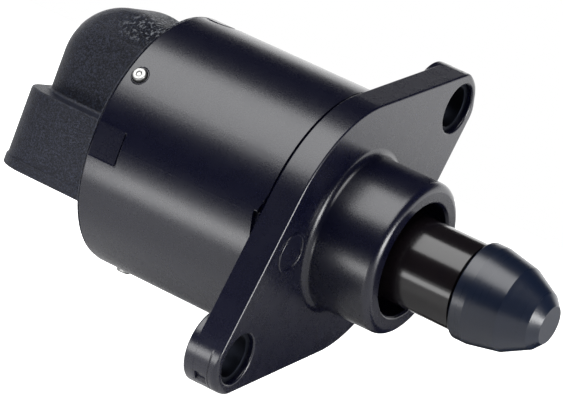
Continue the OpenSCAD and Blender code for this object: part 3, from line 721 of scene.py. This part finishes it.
# %% Bodies, nodes and slots
for piece, body, node, slot in (
    (housing_piece, "valve_body", "housing", "housing_plastic"),
    (cap_piece, "valve_body", "connector_cap", "cap_plastic"),
    (pins_piece, "valve_body", "lock_pins", "bright_steel"),
    (bushes_piece, "valve_body", "mounting_bushes", "dull_steel"),
    (stem_piece, "pintle", "pintle_stem", "stem_plastic"),
    (head_piece, "pintle", "pintle_head", "head_plastic"),
):
    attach(piece, body)
    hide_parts(node)
    print(piece.name, "rides on", body, "and replaces", node)

# %% [markdown]
# ## Materials
# A finish is an expression: noise in millimetres, shaped by a few sums, drives the
# colour, the roughness and the bump. One small class lets a node's socket stand in
# such a sum, so the shader reads like the formula it is.


# %% Sockets in sums
class Wire:
    """A node's socket that can stand in a sum; the sum adds the Math nodes."""

    def __init__(self, tree, socket):
        self.tree, self.socket = tree, socket

    def node(self, kind, settings=(), inputs=(), output=0):
        """Adds a node of a kind, sets its settings, then its inputs, and gives an output."""
        made = self.tree.nodes.new("ShaderNode" + kind)
        for key, value in dict(settings).items():
            setattr(made, key, value)
        for key, value in dict(inputs).items():
            if isinstance(value, Wire):
                self.tree.links.new(value.socket, made.inputs[key])
            else:
                made.inputs[key].default_value = value
        return Wire(self.tree, made.outputs[output])

    def math(self, operation, *values, clamp=False):
        """One Math node on numbers and sockets."""
        settings = {"operation": operation, "use_clamp": clamp}
        return self.node("Math", settings, dict(enumerate(values)))

    def __add__(self, other):
        return self.math("ADD", self, other)

    def __sub__(self, other):
        return self.math("SUBTRACT", self, other)

    def __mul__(self, other):
        return self.math("MULTIPLY", self, other)

    def __rsub__(self, other):
        return self.math("SUBTRACT", other, self)

    __radd__, __rmul__ = __add__, __mul__

    def between(self, low, high):
        """0 at low, 1 at high, held beyond them."""
        return self.math("MULTIPLY", self - low, 1 / (high - low), clamp=True)

    def scaled(self, factors):
        """A vector with each part multiplied."""
        settings = {"operation": "MULTIPLY"}
        return self.node("VectorMath", settings, {0: self, 1: factors})

    def mixed(self, first, second):
        """The colour first where this is 0 and second where it is 1."""
        first, second = (c if isinstance(c, Wire) else (*c, 1) for c in (first, second))
        colours = {6: first, 7: second}
        return self.node("Mix", {"data_type": "RGBA"}, {0: self, **colours}, output=2)

    def noise(self, scale, detail=2, rough=0.5):
        """Noise whose grains are about 1 / scale millimetres across."""
        values = {"Vector": self, "Scale": scale, "Detail": detail, "Roughness": rough}
        return self.node("TexNoise", {}, values)

    def parts(self):
        """The three parts of a vector."""
        split = self.node("SeparateXYZ", {}, {0: self}).socket.node
        return [Wire(self.tree, split.outputs[k]) for k in range(3)]

    def bump(self, height):
        """A normal from a height in millimetres. This wire only gives the tree."""
        values = {"Height": height, "Distance": MM, "Strength": 1.0}
        return self.node("Bump", {}, values)


def finish(name, constants, write):
    """A material: constants go on the shader's own sockets, and write(mm) gives what
    varies, by socket, from the object's coordinates in millimetres."""
    material = bpy.data.materials.new(name)
    material.use_nodes = True
    tree = material.node_tree
    shader = tree.nodes["Principled BSDF"]
    for key, value in constants.items():
        shader.inputs[key].default_value = value
    place = Wire(tree, None).node("TexCoord", output=3)
    for key, value in write(place.scaled((1 / MM,) * 3)).items():
        tree.links.new(value.socket, shader.inputs[key])
    return material


def dress(target, material):
    """Gives every slot of a piece or node one material."""
    slots = target.data.materials
    slots.clear()
    slots.append(material)


# %% [markdown]
# The housing and the pintle are glass-filled plastic from a polished mould: nearly
# black with a blue cast, satin, with hair scratches that only show in a highlight. The
# cap comes from a mould etched like leather. The head was turned, so its marks run
# round the axis.


# %% Plastics
def scratches(mm, stretch, scale, low, high):
    """Hair lines: noise drawn out along one direction, cut to its thin crests."""
    return mm.scaled(stretch).noise(scale, 3, 0.6).between(low, high)


def satin(mm):
    """Polished moulded plastic: clouds in colour and gloss, hair scratches, fine grain."""
    clouds, dust = mm.noise(0.35, 4, 0.6), mm.noise(4.5, 3, 0.7)
    hair = scratches(mm, (6.0, 0.35, 0.35), 1.4, 0.64, 0.72)
    cross = scratches(mm, (0.3, 3.0, 5.0), 1.1, 0.66, 0.74)
    height = 0.007 * dust + 0.004 * mm.noise(1.1, 2) - 0.0005 * hair
    return {
        "Base Color": clouds.mixed((0.0005, 0.0007, 0.0065), (0.0018, 0.0021, 0.009)),
        "Roughness": 0.22 + 0.06 * clouds + 0.01 * hair + 0.01 * cross + 0.05 * dust,
        "Normal": mm.bump(height),
    }


ELBOW_X, ELBOW_Z = (-39.5, -35.5), (11.4, 13.2)


def leather(mm):
    """Etched plastic: pebbles from cell distances broken up by noise, with pale specks of
    painted sheen on the grain, and deeper wrinkles where the elbow meets the barrel, with
    painted glints on their crests."""
    wander = mm.noise(1.5, 3)
    pebbles = {"Vector": mm, "Scale": 4.2, "Smoothness": 0.6}
    cells = mm.node("TexVoronoi", {"feature": "SMOOTH_F1"}, pebbles)
    fine = mm.noise(7.5, 3, 0.65)
    x, _, z = mm.parts()
    near_barrel = x.between(*ELBOW_X) * z.between(*ELBOW_Z)
    folds = mm.scaled((1.0, 0.45, 0.8)).noise(1.5, 4, 0.7) * near_barrel
    height = 0.035 * cells + 0.11 * fine + 0.03 * wander + 1.5 * folds
    shine = fine.between(0.35, 0.7)
    # Painted glints: pale colour on the wrinkles' crests near the barrel stands in for
    # highlights.
    painted_glints = mm.scaled((1.0, 0.6, 0.8)).noise(2.6, 3, 0.7).between(0.54, 0.6) * near_barrel
    # Painted sheen: pale specks in the colour stand in for the grain catching the light.
    sheen_specks = mm.noise(4.2, 3, 0.8).between(0.47, 0.63)
    speckled_sheen_ground = sheen_specks.mixed((0.0002, 0.0004, 0.004), (0.022, 0.027, 0.048))
    return {
        "Base Color": painted_glints.mixed(speckled_sheen_ground, (0.17, 0.18, 0.2)),
        "Roughness": 0.38 + 0.14 * shine + 0.12 * near_barrel,
        "Normal": mm.bump(height),
    }


def polished(mm):
    """Gloss of a polished tube: long soft waves and a few fine rings."""
    rings = mm.scaled((9.0, 0.02, 0.02)).noise(1.0, 3, 0.6)
    return {
        "Base Color": mm.noise(0.5).mixed((0.003, 0.0022, 0.0035), (0.0055, 0.004, 0.0045)),
        "Roughness": 0.13 + 0.05 * rings + 0.03 * mm.noise(2.5),
        "Normal": mm.bump(0.0012 * rings + 0.004 * mm.noise(0.4)),
    }


def lathe_cut(mm):
    """Turned plastic: fine marks that run round the axis, over a soft cloud."""
    marks = mm.scaled((13.0, 0.03, 0.03)).noise(1.0, 4, 0.7)
    broad = mm.scaled((2.2, 0.1, 0.1)).noise(1.0, 2)
    return {
        "Base Color": marks.mixed((0.0008, 0.003, 0.011), (0.003, 0.006, 0.016)),
        "Roughness": 0.21 + 0.12 * marks + 0.05 * broad,
        "Normal": mm.bump(0.006 * marks + 0.004 * mm.noise(9, 2)),
    }


plain = {"Specular IOR Level": 0.5}
satin_black = finish("satin black moulding", plain, satin)
leather_black = finish("leather grain moulding", {"Specular IOR Level": 0.32}, leather)
polished_black = finish("polished black tube", {"Specular IOR Level": 0.42}, polished)
lathe_black = finish("turned black plastic", plain, lathe_cut)
dress(housing_piece, satin_black)
dress(cap_piece, leather_black)
dress(stem_piece, polished_black)
dress(head_piece, lathe_black)
print("plastics", [m.name for m in bpy.data.materials])

# %% [markdown]
# Inside are metals, a ferrite ring, wound copper and pale bobbin plastic. They are only
# seen through the socket or when the part is opened, but each has its own finish:
# rolled sheet, drawn wire, ground steel, sintered grains.


# %% Metals and the rest
def metal(low, high, rough, stretch, scale, depth):
    """A metal's recipe: two tones along drawn-out noise, with matching gloss and bump."""
    def write(mm):
        lines = mm.scaled(stretch).noise(scale, 3, 0.6)
        stains = mm.noise(0.6, 3)
        return {
            "Base Color": (0.6 * lines + 0.4 * stains).mixed(low, high),
            "Roughness": rough + 0.12 * lines + 0.06 * stains,
            "Normal": mm.bump(depth * lines),
        }
    return write


def mineral(low, high, rough, scale, depth):
    """Plastic, rubber or ferrite: grains over clouds."""
    def write(mm):
        grains, clouds = mm.noise(scale, 3, 0.6), mm.noise(0.5, 3)
        return {
            "Base Color": (0.5 * grains + 0.5 * clouds).mixed(low, high),
            "Roughness": rough + 0.12 * grains,
            "Normal": mm.bump(depth * grains),
        }
    return write


WIRE_D = 0.2


def wound(mm):
    """Layers of enamelled wire: the sine of the distance along the axis, with a crest for
    each turn of wire."""
    turns = mm.parts()[0] * (2 * np.pi / WIRE_D)
    crest = turns.math("SINE", turns)
    tone = mm.noise(1.5, 2)
    return {
        "Base Color": tone.mixed((0.42, 0.13, 0.035), (0.62, 0.24, 0.08)),
        "Roughness": 0.24 + 0.1 * tone,
        "Normal": mm.bump(0.04 * crest),
    }


steel = {"Metallic": 1.0}
ROUND, ALONG, SPECKLED = (8.0, 0.2, 0.2), (0.3, 4.0, 4.0), (2, 2, 2)
metals = {
    "bright pin steel": ((0.1, 0.1, 0.1), (0.5, 0.5, 0.49), 0.32, SPECKLED, 1.6, 0.03),
    "blackened bush steel": (
        (0.006, 0.007, 0.011), (0.015, 0.017, 0.024), 0.45, ROUND, 1, 0.004
    ),
    "tinned contact": ((0.58, 0.54, 0.45), (0.78, 0.75, 0.68), 0.22, ALONG, 1, 0.003),
    "rolled stator sheet": ((0.4, 0.41, 0.43), (0.56, 0.57, 0.6), 0.3, ROUND, 1, 0.004),
    "ground bearing steel": ((0.6, 0.61, 0.63), (0.75, 0.76, 0.78), 0.12, ROUND, 2, 0.001),
    "cage brass": ((0.58, 0.4, 0.17), (0.72, 0.53, 0.25), 0.26, ALONG, 1, 0.003),
    "hub brass": ((0.55, 0.4, 0.15), (0.7, 0.52, 0.22), 0.24, ROUND, 1, 0.004),
    "screw steel": ((0.45, 0.46, 0.48), (0.62, 0.63, 0.66), 0.22, ROUND, 1, 0.004),
}
minerals = {
    "seal rubber": ((0.012, 0.012, 0.012), (0.024, 0.024, 0.024), 0.55, 9, 0.01),
    "bobbin plastic": ((0.66, 0.62, 0.5), (0.76, 0.73, 0.62), 0.42, 8, 0.006),
    "guide plastic": ((0.6, 0.57, 0.47), (0.72, 0.7, 0.6), 0.38, 8, 0.005),
    "ferrite": ((0.025, 0.025, 0.028), (0.055, 0.055, 0.06), 0.5, 12, 0.008),
}
made = {name: finish(name, steel, metal(*recipe)) for name, recipe in metals.items()}
for name, recipe in minerals.items():
    made[name] = finish(name, plain, mineral(*recipe))
made["enamelled wire"] = finish("enamelled wire", plain, wound)

# %% Who wears what
worn_by = {
    "tinned contact": ["terminals"],
    "rolled stator sheet": [
        "front_stator_cup", "front_pole_plate", "rear_pole_plate", "rear_stator_cup"
    ],
    "ground bearing steel": ["bearing_outer_ring", "bearing_balls", "bearing_inner_ring"],
    "cage brass": ["bearing_cage"],
    "hub brass": ["rotor_hub", "rear_bush"],
    "screw steel": ["lead_screw", "preload_spring"],
    "seal rubber": ["cap_seal"],
    "bobbin plastic": ["front_bobbin", "rear_bobbin"],
    "guide plastic": ["guide_bush"],
    "ferrite": ["rotor_magnet"],
    "enamelled wire": ["front_winding", "rear_winding"],
}
for name, wearers in worn_by.items():
    for node in wearers:
        dress(nodes[node], made[name])
dress(pins_piece, made["bright pin steel"])
dress(bushes_piece, made["blackened bush steel"])
print("materials", len(bpy.data.materials))

# %% [markdown]
# ## Studio
# The photograph shows a long soft box above, a strip at the pintle's side that draws
# the line along the plate's front edge, a narrow strip low at the front, a white
# backdrop and a dim room: each is a reflection in the plastic. The floor is pale and
# keeps the shadow. It ends behind the valve, where the backdrop takes over. Two dark
# cards, one standing and one lying, are seen only in reflections: they are painted
# shade, which the lower half of the plate's front mirrors in place of the lit floor.


# %% Floor and cards
def sheet(name, corners):
    """A flat sheet through four corners in millimetres."""
    mesh = bpy.data.meshes.new(name)
    mesh.from_pydata((np.array(corners) * MM).tolist(), [], [(0, 1, 2, 3)])
    made = bpy.data.objects.new(name, mesh)
    bpy.context.scene.collection.objects.link(made)
    return made


FLOOR_Z, FLOOR_NEAR, FLOOR_FAR, FLOOR_HALF = -32.0, -105, 250, 1500
floor = sheet("floor", [
    (x, y, FLOOR_Z)
    for x, y in (
        (-FLOOR_HALF, FLOOR_NEAR), (FLOOR_HALF, FLOOR_NEAR),
        (FLOOR_HALF, FLOOR_FAR), (-FLOOR_HALF, FLOOR_FAR),
    )
])
CARD_LOW, CARD_TOP, CARD_NEAR, CARD_BACK, CARD_END = FLOOR_Z + 0.1, -5, 20, 75, 50
# Dark cards that paint shade into reflections only: the plate's lower front mirrors them.
cards = [
    sheet("standing card", [
        (18, CARD_BACK, CARD_LOW), (CARD_END, CARD_BACK, CARD_LOW),
        (CARD_END, CARD_BACK, CARD_TOP), (18, CARD_BACK, CARD_TOP),
    ]),
    sheet("lying card", [
        (-5, CARD_NEAR, CARD_LOW), (CARD_END, CARD_NEAR, CARD_LOW),
        (CARD_END, CARD_BACK, CARD_LOW), (-5, CARD_BACK, CARD_LOW),
    ]),
]
for card in cards:
    card.visible_camera = card.visible_shadow = card.visible_diffuse = False
print("floor at", FLOOR_Z, "cards", len(cards))

# %% [markdown]
# The floor has to look white to the camera without throwing more light on the valve,
# so it glows for camera rays only and is otherwise plain paint.


# %% Paints
def paint(name, tone):
    """A matt paint of one grey, without a shine."""
    grey = {"Base Color": (tone, tone, tone, 1), "Roughness": 0.9, "Specular IOR Level": 0.0}
    return finish(name, grey, lambda mm: {})


# The cards' near-black paint is painted shade in the reflections.
reflected_shade_paint, floor_paint = paint("reflected shade paint", 0.01), paint("floor paint", 0.72)
for card in cards:
    dress(card, reflected_shade_paint)
FLOOR_GLOW = 1.1
tree = floor_paint.node_tree
start = Wire(tree, None)
to_camera = start.node("LightPath")
glow = start.node("Emission", {}, {"Color": (1, 1, 1, 1), "Strength": to_camera * FLOOR_GLOW})
both = start.node("AddShader", {}, {0: glow})
tree.links.new(tree.nodes["Principled BSDF"].outputs[0], both.socket.node.inputs[1])
tree.links.new(both.socket, tree.nodes["Material Output"].inputs[0])
dress(floor, floor_paint)
print("paints", reflected_shade_paint.name, floor_paint.name)

# %% [markdown]
# A world of one brightness would either light the black plastic flat or leave it
# without shape. So this one is white to the camera, a white backdrop in a dim room to
# reflections, where the backdrop is a band between two angles of rise, and a low even
# fill to all other light.

# %% World
world = bpy.data.worlds.new("studio")
bpy.context.scene.world = world
world.use_nodes = True
tree = world.node_tree
start = Wire(tree, None)
ray = start.node("LightPath").socket.node.outputs
camera, mirror, clear = (
    Wire(tree, ray[f"Is {kind} Ray"]) for kind in ("Camera", "Glossy", "Transmission")
)
_, back, up = start.node("TexCoord", output=3).parts()
rise = up.math("ARCTAN2", up, back)
BACKDROP_FOOT, BACKDROP_TOP = (-0.6, -0.5), (0.45, 0.5)
backdrop = (1 - rise.between(*BACKDROP_TOP)) * rise.between(*BACKDROP_FOOT)
ROOM, BACKDROP, FILL = 0.03, 1.75, 0.15
seen = camera.math("MAXIMUM", camera, (mirror + clear) * (ROOM + BACKDROP * backdrop))
strength = seen + (1 - camera) * (1 - mirror) * (1 - clear) * FILL
tree.links.new(strength.socket, tree.nodes["Background"].inputs["Strength"])
tree.nodes["Background"].inputs["Color"].default_value = (1, 1, 1, 1)
print("room", ROOM, "backdrop", BACKDROP, "fill", FILL)

# %% [markdown]
# The lamps are rectangles, because the outline of each shows in the satin plastic. A
# lamp's place and size follow from where its reflection lies on the barrel, the collar
# and the plate's edge.


# %% Lamps
def soft_box(name, towards, distance, width, height, radiance, about=(0, 0, 0)):
    """A rectangular lamp that faces a point, width along the valve's axis. A lamp's
    power is its radiance times pi times its area."""
    data = bpy.data.lights.new(name, "AREA")
    data.shape, data.size, data.size_y = "RECTANGLE", width * MM, height * MM
    data.energy = radiance * np.pi * width * height * MM * MM
    lamp = bpy.data.objects.new(name, data)
    bpy.context.scene.collection.objects.link(lamp)
    z = np.array(towards, float) / np.linalg.norm(towards)
    x = np.array([1, 0, 0]) - z * z[0]
    x /= np.linalg.norm(x)
    axes = Matrix(np.column_stack([x, np.cross(z, x), z]).tolist())
    lamp.matrix_world = axes.to_4x4()
    lamp.location = Vector((np.array(about) + z * distance) * MM)
    lamp.visible_camera = False
    return lamp


def tilt_of(degrees, x=0.0):
    """A direction at an angle in the Y-Z plane, with a share along the axis."""
    a = np.radians(degrees)
    return (x, np.cos(a), np.sin(a))


lamps = [
    soft_box(
        "overhead soft box", tilt_of(119.1, -0.2),
        distance=600, width=660, height=522, radiance=6.0,
    ),
    soft_box(
        "side strip", (1.0, -0.1, 0.0),
        distance=300, width=215, height=90, radiance=18.0, about=(0, 0, 20),
    ),
    soft_box(
        "low strip", tilt_of(213.6),
        distance=32, width=57, height=10, radiance=6.5, about=(-21.5, -16, -5),
    ),
]
print("lamps", [lamp.name for lamp in lamps])

# %% [markdown]
# ## Camera
# The camera's place, its lens and its roll were solved together from the outline of
# the photographed object.

# %% Camera
EYE, AIM = (199.035, -427.926, 80.472), (-8.831, -4.225, 0.570)
ROLL, LENS = 20.72, 237.325
camera_data = bpy.data.cameras.new("camera")
camera_data.lens, camera_data.sensor_width = LENS, 36.0
camera_data.clip_start, camera_data.clip_end = 0.01, 50.0
view = bpy.data.objects.new("camera", camera_data)
bpy.context.scene.collection.objects.link(view)
look = Vector(AIM) - Vector(EYE)
turn = look.to_track_quat("-Z", "Y").to_matrix() @ Matrix.Rotation(np.radians(ROLL), 3, "Z")
view.matrix_world = turn.to_4x4()
view.location = Vector(EYE) * MM
bpy.context.scene.camera = view
bpy.context.scene.view_settings.view_transform = "Standard"
print("camera at", EYE, "lens", LENS)
